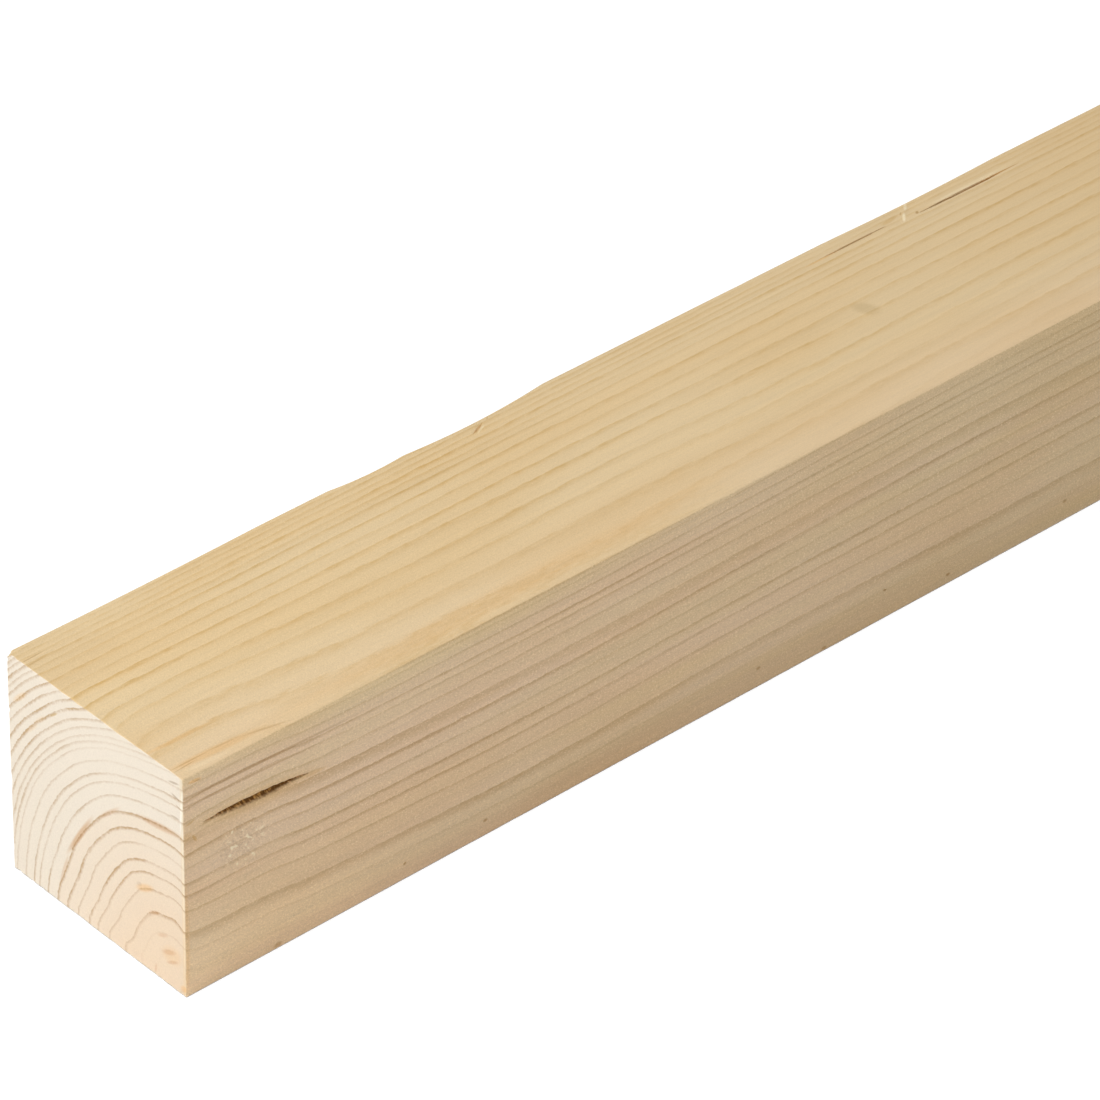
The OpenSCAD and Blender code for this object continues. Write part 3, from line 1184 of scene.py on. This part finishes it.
    def late_wood(self, where: WoodPlace, distance: Signal) -> LateWood:
        """Grades a place between the soft early wood of a ring and its dark late wood.

        Args:
            where: The place in the wood.
            distance: How far out from the pith it is.

        Returns:
            The rings there, with a line and a shade from 0 to 1.
        """
        board = where.board
        edges = [Ring(0.0, 0.0), *RINGS]
        edges += [Ring(self.outermost + k, 0.0) for k in range(self.slots + 1 - len(edges))]
        grown = [(ring.radius, k) for k, ring in enumerate(edges) if ring.radius <= self.outermost]
        counts = [(radius / self.outermost, k) for radius, k in grown]
        inner = board.math("FLOOR", board.curve(distance / self.outermost, counts, "VECTOR"))
        slots = [k / self.slots for k in range(len(edges))]
        radii = list(zip(slots, (ring.radius for ring in edges)))
        darks = list(zip(slots, (ring.darkness for ring in edges)))
        spreads = list(zip(slots, (ring.spread for ring in edges)))
        slot_past = inner / self.slots
        slot_ahead = (inner + 1.0) / self.slots
        past = distance - board.curve(slot_past, radii, "VECTOR")
        ahead = board.curve(slot_ahead, radii, "VECTOR") - distance
        dark_past = board.curve(slot_past, darks, "VECTOR")
        dark_ahead = board.curve(slot_ahead, darks, "VECTOR")
        wide = 1.0 + where.skin * (board.curve(slot_ahead, spreads, "VECTOR") * self.planed_spread - 1.0)
        fainter = 2.0 / (1.0 + wide.most(self.planed_spread) / self.planed_spread)
        reach = wide * (self.line_width + self.dark_width * dark_ahead)
        line = ahead.fall(0.0, reach) * dark_ahead * fainter
        line = line.most(past.fall(0.0, self.edge_width) * dark_past)
        ripe = (past / (past + ahead)).within()
        return LateWood(distance, line, ripe * ripe * dark_ahead)


@dataclass(frozen=True)
class Fuzz:
    """The fine grain at a place: fibres, flecks of cut fibre, their glint painted as a highlight, their
    relief and the roughness.
    """

    fibre: Signal
    fleck: Signal
    glint: Signal
    relief: Signal
    roughness: Signal


# How much of each opening is coloured inside
OPENINGS = ((RESIN_POCKET, 1.0), (WIDE_CHECK, 1.0), (HAIR_CHECK, 0.6), (SLANT_TEAR, 0.6))


@dataclass(frozen=True)
class PlanedSoftwood:
    """Planed whitewood: rings, fibres, end grain, resin and the marks of planing."""

    stock: Stock
    rings: GrowthRings = GrowthRings()
    outer_wood: Colour = srgb(231, 205, 161)
    inner_wood: Colour = srgb(230, 202, 168)
    warm: Colour = (0.985, 0.95, 0.89)
    # Darker, more olive tint of the sides away from the marked end, partly painted shade
    far_tone_and_shade: Colour = (0.912, 0.935, 0.885)
    rosy: Colour = (1.0, 0.985, 1.0)
    olive: Colour = (0.99, 1.0, 0.955)
    # Colour of the painted highlight on glinting fibres
    glint_colour: Colour = srgb(250, 233, 198)
    late_top: Colour = (0.83, 0.72, 0.5)
    late_side: Colour = (0.74, 0.66, 0.54)
    pale_end: Colour = srgb(240, 228, 210)
    pith_end: Colour = srgb(241, 218, 190)
    late_end: Colour = (0.66, 0.52, 0.37)
    frayed_end: Colour = (1.0, 0.95, 0.82)
    dark_resin: Colour = srgb(112, 76, 28)
    dry_resin: Colour = srgb(226, 176, 104)
    check_wood: Colour = srgb(196, 148, 88)
    # Noise that bends the rings, breaks up their lines, and makes up the fine grain and the slow changes
    slow_wobble: Grain = Grain((7, 70, 7), shift=300.0, strength=0.6)
    quick_wobble: Grain = Grain((1.1, 5, 1.1), shift=700.0, strength=0.4)
    teeth: Grain = Grain((0.6, 0.8, 0.6), shift=760.0, layers=1.0)
    patches: Grain = Grain((6, 40, 6), shift=410.0, layers=1.0, strength=1.8)
    breaks: Grain = Grain((0.6, 2.5, 0.6), shift=430.0, layers=1.0, strength=1.6)
    fibres: Grain = Grain((0.35, 9.0, 0.35), shift=110.0, rough=0.6)
    hairs: Grain = Grain((0.24, 0.5, 0.24), shift=530.0, layers=1.0, rough=0.7, turn=(-0.6, 0.0, 0.6))
    tufts: Grain = Grain((0.8, 1.2, 0.8), shift=560.0, layers=1.0, rough=0.6, turn=(-0.6, 0.0, 0.6))
    crumbs: Grain = Grain((0.8, 0.6, 1.0), shift=610.0, layers=3.0, rough=0.6)
    streaks: Grain = Grain((2.2, 90, 2.2), shift=230.0, strength=0.12)
    clouds: Grain = Grain((12, 50, 12), shift=310.0, layers=1.0)
    hues: Grain = Grain((6, 110, 6), shift=870.0, layers=1.0)
    pores: Grain = Grain((0.3, 0.3, 0.3), shift=70.0, strength=0.12)
    # Strengths on the other faces, and on the top face
    tooth_depth: tuple[float, float] = (0.3, 0.1)
    fibre_strength: tuple[float, float] = (1.0, 0.6)
    line_strength: tuple[float, float] = (0.92, 0.24)
    dark_line_strength: tuple[float, float] = (0.0, 0.46)
    shade_strength: tuple[float, float] = (0.26, 0.18)
    # Stretches along the piece, and what changes there: smoother on top, fainter lines, and sides darker and
    # more olive, partly in tone and partly as painted shade
    smooth_stretch: tuple[float, float] = (30.0, 200.0)
    smoothness: tuple[float, float] = (0.35, 0.7)
    faint_stretch: tuple[float, float] = (30.0, 190.0)
    faintness: tuple[float, float] = (0.0, 0.25)
    far_tone_and_shade_stretch: tuple[float, float] = (20.0, 230.0)
    # Where a colour starts to show and where it is full, by noise or by place
    warm_rise: tuple[float, float] = (-0.15, 0.2)
    olive_rise: tuple[float, float] = (-0.2, 0.2)
    outer_rise: tuple[float, float] = (34.0, 44.0)
    frayed_rise: tuple[float, float] = (21.0, 21.8)
    dry_rise: tuple[float, float] = (-0.06, 0.22)
    opening_rim: tuple[float, float] = (0.7, 1.15)
    # Distances from the pith over which the warm heart of an end fades, and the share that fades there
    heart_edge: tuple[float, float] = (27.0, 28.6)
    heart_edge_share: float = 0.35
    heart_fade: tuple[float, float] = (6.0, 27.0)
    heart_fade_share: float = 0.65
    # Noise where a painted glint starts and is full, and how much of it shows before and after
    hair_glint: tuple[float, ...] = (0.1, 0.25, 0.0, 0.4)
    tuft_glint: tuple[float, ...] = (0.08, 0.2, 0.0, 0.9)
    # How far out the torn fibres are thickest, where their rim is 1
    torn_core: float = 0.1
    # Relief in millimetres, change of shade and of roughness, where the noise is 1
    fibre_relief: float = 0.03
    hair_relief: float = 0.08
    tuft_relief: float = 0.6
    fibre_shade: float = 0.2
    fleck_shade: float = 0.4
    end_fleck_shade: float = 0.1
    fibre_roughness: float = 0.3
    # How ragged the rims of the openings are, and how much drier the resin is high up at the far tip
    crumb_spread: float = 0.5
    dry_lean: float = 0.25
    plain_roughness: float = 0.62
    gloss: float = 0.25

    def make(self) -> bpy.types.Material:
        """Makes the finish.

        Returns:
            The material.
        """
        material = bpy.data.materials.new("planed_softwood")
        material.use_nodes = True
        board = NodeBoard(material.node_tree)
        where = WoodPlace.read(board, self.stock)
        late = self._late_wood(where)
        fuzz = self._fuzz(where)
        bump = board.add("ShaderNodeBump")
        board.feed(bump.inputs["Height"], fuzz.relief * MM)
        bump.inputs["Distance"].default_value = 1.0
        planed = self._long_colour(where, late, fuzz)
        crumbs = where.noise(self.crumbs)
        woods = {Face.MARKED_END: self._end_colour(where, late, fuzz), Face.RIGHT: planed, Face.TOP: planed}
        surfaces = {}
        for face, wood in woods.items():
            colour = self._marked(where, face, wood, crumbs)
            shader = board.add("ShaderNodeBsdfPrincipled")
            board.feed(shader.inputs["Base Color"], colour)
            board.feed(shader.inputs["Roughness"], fuzz.roughness)
            board.feed(shader.inputs["Normal"], bump.outputs[0])
            shader.inputs["Specular IOR Level"].default_value = self.gloss
            surfaces[face] = shader.outputs[0]
        long_faces = board.mix_surfaces(where.on_top, surfaces[Face.RIGHT], surfaces[Face.TOP])
        output = board.add("ShaderNodeOutputMaterial")
        whole = board.mix_surfaces(where.skin, surfaces[Face.MARKED_END], long_faces)
        board.feed(output.inputs["Surface"], whole)
        return material

    def _late_wood(self, where: WoodPlace) -> LateWood:
        """Finds the rings at a place, with lines that wobble, break and fade.

        Args:
            where: The place in the wood.

        Returns:
            The rings there.
        """
        wobble = where.noise(self.slow_wobble) + where.noise(self.quick_wobble)
        toothed = where.noise(self.teeth) * where.by_face(*self.tooth_depth)
        distance = self.rings.distance(where, wobble + toothed)
        late = self.rings.late_wood(where, distance)
        line = late.line * (1.0 + where.noise(self.patches) + where.noise(self.breaks))
        return LateWood(distance, line * (1.0 - where.covered(FAINT_GRAIN)), late.shade)

    def _fuzz(self, where: WoodPlace) -> Fuzz:
        """Grows the fine grain: fibres along the wood, hairs of cut fibre, and tufts where it is torn.

        Args:
            where: The place in the wood.

        Returns:
            The fine grain there.
        """
        fibre = where.noise(self.fibres) * where.by_face(*self.fibre_strength)
        torn = where.out_in_lens(TORN_FIBRES).fall(self.torn_core, 1.0)
        smooth = where.on_top * where.along.graded(*self.smooth_stretch, *self.smoothness)
        hairs = where.noise(self.hairs) * (1.0 - smooth)
        tufts = where.noise(self.tufts) * torn
        # Painted highlight: glints where the cut hairs and the torn tufts stand highest
        glint = hairs.graded(*self.hair_glint).most(tufts.graded(*self.tuft_glint))
        relief = fibre * self.fibre_relief + hairs * self.hair_relief + tufts * self.tuft_relief
        roughness = self.plain_roughness + fibre * self.fibre_roughness
        return Fuzz(fibre, hairs + tufts, glint, relief, roughness)

    def _long_colour(self, where: WoodPlace, late: LateWood, fuzz: Fuzz) -> bpy.types.NodeSocket:
        """Colour of the planed long faces.

        Args:
            where: The place in the wood.
            late: The rings there.
            fuzz: The fine grain there.

        Returns:
            The socket that holds the colour.
        """
        board = where.board
        beside = 1.0 - where.on_top
        warm = where.noise(self.clouds).step(*self.warm_rise)
        hue = board.mix(where.noise(self.hues).step(*self.olive_rise), self.rosy, self.olive)
        colour = board.mix(late.distance.step(*self.outer_rise), self.inner_wood, self.outer_wood)
        colour = board.tinted(warm, colour, self.warm)
        # Sides darker and more olive away from the marked end: partly the wood's tone, partly painted shade
        colour = board.tinted(where.along.step(*self.far_tone_and_shade_stretch) * beside, colour, self.far_tone_and_shade)
        colour = board.tinted(beside, colour, hue)
        grain = fuzz.fibre * self.fibre_shade + fuzz.fleck * self.fleck_shade + where.noise(self.streaks)
        colour = board.scaled(colour, 1.0 + grain)
        dark = late.line * where.by_face(*self.line_strength)
        dark = dark + late.line * late.line * where.by_face(*self.dark_line_strength)
        dark = dark + late.shade * where.by_face(*self.shade_strength)
        dark = dark * (1.0 - where.along.graded(*self.faint_stretch, *self.faintness))
        tint = board.mix(where.on_top, self.late_side, self.late_top)
        colour = board.tinted(dark.within(), colour, tint)
        # Painted highlight: the glints lift the colour towards the glint colour
        return board.mix(fuzz.glint, colour, self.glint_colour)

    def _end_colour(self, where: WoodPlace, late: LateWood, fuzz: Fuzz) -> bpy.types.NodeSocket:
        """Colour of the sawn ends.

        Args:
            where: The place in the wood.
            late: The rings there.
            fuzz: The fine grain there.

        Returns:
            The socket that holds the colour.
        """
        board = where.board
        heart = self.heart_edge_share * late.distance.fall(*self.heart_edge)
        heart = heart + self.heart_fade_share * late.distance.fall(*self.heart_fade)
        colour = board.mix(heart, self.pale_end, self.pith_end)
        colour = board.tinted(where.across.step(*self.frayed_rise), colour, self.frayed_end)
        colour = board.scaled(colour, 1.0 + where.noise(self.pores) + fuzz.fleck * self.end_fleck_shade)
        return board.tinted(late.line.within(), colour, self.late_end)

    def _marked(self, where: WoodPlace, face: Face, colour: bpy.types.NodeSocket,
                crumbs: Signal) -> bpy.types.NodeSocket:
        """Colours the openings and then the spots of a face.

        Args:
            where: The place in the wood.
            face: The face.
            colour: The socket that holds the colour of its wood.
            crumbs: Coarse noise.

        Returns:
            The socket that holds the colour.
        """
        for lens, share in OPENINGS:
            if lens.face is face:
                inside = self._resin(where, crumbs) if lens is RESIN_POCKET else self.check_wood
                out = where.out_in_lens(lens) + crumbs * self.crumb_spread
                colour = where.board.mix(out.fall(*self.opening_rim, share), colour, inside)
        spots = [spot for spot in SPOTS if spot.face is face]
        for tint in dict.fromkeys(spot.tint for spot in spots):
            cover = where.covered([spot for spot in spots if spot.tint == tint])
            colour = where.board.tinted(cover, colour, tint)
        return colour

    def _resin(self, where: WoodPlace, crumbs: Signal) -> bpy.types.NodeSocket:
        """Colour inside the resin pocket, drier high up towards its far tip.

        Args:
            where: The place in the wood.
            crumbs: Coarse noise.

        Returns:
            The socket that holds the colour.
        """
        run, off = where.measured(RESIN_POCKET)
        dry = (crumbs + self.dry_lean * run.within() * off).step(*self.dry_rise)
        return where.board.mix(dry, self.dark_resin, self.dry_resin)


def seen_rays(board: NodeBoard) -> Signal:
    """Tells rays that show a surface to the camera from rays that carry light.

    Args:
        board: The node board.

    Returns:
        1 for what is seen straight, mirrored or through glass, and 0 for light.
    """
    path = board.add("ShaderNodeLightPath")
    kinds = [Signal(board, path.outputs[f"Is {kind} Ray"]) for kind in ("Camera", "Glossy", "Transmission")]
    return reduce(Signal.most, kinds)


@dataclass(frozen=True)
class PaleFloor:
    """A floor that shows white to the camera and keeps the shadow of what lies on it, with a painted contact
    shadow where its glow dims next to the wood.
    """

    white: Colour = (0.86, 0.86, 0.86)
    shown_light: float = 0.88
    shown_shade: Colour = (0.28, 0.28, 0.28)
    # Reach in millimetres and rays of the painted contact shadow
    contact: float = 0.15
    contact_rays: int = 1

    def make(self) -> bpy.types.Material:
        """Makes the finish.

        Returns:
            The material.
        """
        material = bpy.data.materials.new("pale_floor")
        material.use_nodes = True
        board = NodeBoard(material.node_tree)
        plain = board.add("ShaderNodeBsdfDiffuse")
        plain.inputs["Color"].default_value = (*self.white, 1.0)
        # Painted contact shadow: the glow that the camera sees dims where ambient occlusion finds the wood
        # close
        contact_shade = board.add("ShaderNodeAmbientOcclusion", samples=self.contact_rays)
        contact_shade.inputs["Distance"].default_value = self.contact * MM
        glow = board.add("ShaderNodeEmission")
        board.feed(glow.inputs["Strength"], Signal(board, contact_shade.outputs["AO"]) * self.shown_light)
        shade = board.add("ShaderNodeBsdfDiffuse")
        shade.inputs["Color"].default_value = (*self.shown_shade, 1.0)
        shown = board.add("ShaderNodeAddShader")
        board.feed(shown.inputs[0], glow.outputs[0])
        board.feed(shown.inputs[1], shade.outputs[0])
        both = board.mix_surfaces(seen_rays(board), plain.outputs[0], shown.outputs[0])
        output = board.add("ShaderNodeOutputMaterial")
        board.feed(output.inputs["Surface"], both)
        return material


@dataclass(frozen=True)
class SoftLamp:
    """A soft lamp: its name, place, aim and sides in metres, and its power in watts."""

    name: str
    place: tuple[float, float, float]
    aim: tuple[float, float, float]
    size: tuple[float, float]
    power: float

    def build(self) -> bpy.types.Object:
        """Hangs the lamp.

        Returns:
            The lamp.
        """
        light = bpy.data.lights.new(self.name, "AREA")
        light.shape = "RECTANGLE"
        light.size, light.size_y = self.size
        light.energy = self.power
        lamp = bpy.data.objects.new(self.name, light)
        lamp.location = self.place
        lamp.rotation_euler = (Vector(self.aim) - Vector(self.place)).to_track_quat("-Z", "Y").to_euler()
        bpy.context.scene.collection.objects.link(lamp)
        return lamp


@dataclass(frozen=True)
class Studio:
    """The plain room round the wood: floor, soft light and camera, with its sizes in metres."""

    stock: Stock
    floor_side: float = 12.0
    sky_light: float = 0.42
    sight: float = 100.0
    lamps: tuple[SoftLamp, ...] = (
        SoftLamp("key", (-0.2, -1.38, 0.6), (0.0, -0.85, 0.02), (0.35, 0.35), 3.3),
        SoftLamp("side", (0.42, -1.15, 0.37), (0.0, -0.85, 0.02), (0.35, 0.35), 0.7),
        SoftLamp("strip", (0.1, 0.45, 0.9), (0.0, 0.45, 0.0), (0.5, 1.2), 6.0),
    )
    # The camera that fits the straight edges of the photograph, in widths of the section from the marked end
    azimuth: float = 47.3506
    elevation: float = 36.1942
    roll: float = 1.1358
    slide_right: float = -1.6493
    slide_up: float = -1.3972
    distance: float = 25.6823
    focal_pixels: float = 7016.4
    frame_pixels: int = 1100

    def build(self) -> None:
        """Builds the room."""
        self._floor()
        self._sky()
        for lamp in self.lamps:
            lamp.build()
        self._camera()
        bpy.context.scene.view_settings.view_transform = "Standard"

    def _floor(self) -> None:
        """Lays the floor that the wood lies on."""
        half = self.floor_side / 2
        corners = [(-half, -half, 0), (half, -half, 0), (half, half, 0), (-half, half, 0)]
        mesh = bpy.data.meshes.new("floor")
        mesh.from_pydata(corners, [], [(0, 1, 2, 3)])
        mesh.materials.append(PaleFloor().make())
        floor = bpy.data.objects.new("floor", mesh)
        bpy.context.scene.collection.objects.link(floor)

    def _sky(self) -> None:
        """Lights the room evenly, and shows white behind the wood."""
        world = bpy.data.worlds.new("studio")
        world.use_nodes = True
        board = NodeBoard(world.node_tree)
        sky = board.add("ShaderNodeBackground")
        board.feed(sky.inputs["Strength"], self.sky_light + (1.0 - self.sky_light) * seen_rays(board))
        sky.inputs["Color"].default_value = (1.0, 1.0, 1.0, 1.0)
        output = board.add("ShaderNodeOutputWorld")
        board.feed(output.inputs["Surface"], sky.outputs[0])
        bpy.context.scene.world = world

    def _camera(self) -> None:
        """Sets the camera where the photograph was taken from."""
        turn, rise, roll = (math.radians(angle) for angle in (self.azimuth, self.elevation, self.roll))
        back = Vector((math.sin(turn) * math.cos(rise), -math.cos(turn) * math.cos(rise), math.sin(rise)))
        level = Vector((math.cos(turn), math.sin(turn), 0.0))
        upright = back.cross(level)
        right = math.cos(roll) * level + math.sin(roll) * upright
        up = math.cos(roll) * upright - math.sin(roll) * level
        marked_end = Vector((0.0, -self.stock.length / 2 * MM, 0.0))
        place = self.distance * back - self.slide_right * right - self.slide_up * up
        turned = Matrix((right, up, back)).transposed().to_4x4()
        lens = bpy.data.cameras.new("camera")
        lens.sensor_fit = "HORIZONTAL"
        lens.lens = lens.sensor_width * self.focal_pixels / self.frame_pixels
        lens.clip_end = self.sight
        camera = bpy.data.objects.new("camera", lens)
        camera.matrix_world = Matrix.Translation(marked_end + place * self.stock.width * MM) @ turned
        bpy.context.scene.collection.objects.link(camera)
        bpy.context.scene.camera = camera


def main() -> None:
    """Builds the room, and the wood to the sizes of the solid, and logs how many faces the wood has."""
    logging.basicConfig(level=logging.INFO, format="%(name)s: %(message)s")
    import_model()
    stock = Stock.packed()
    Studio(stock).build()
    piece = Plank(stock).build()
    piece.data.materials.append(PlanedSoftwood(stock).make())
    log.info("%s has %d faces", piece.name, len(piece.data.polygons))


if __name__ == "__main__":
    main()
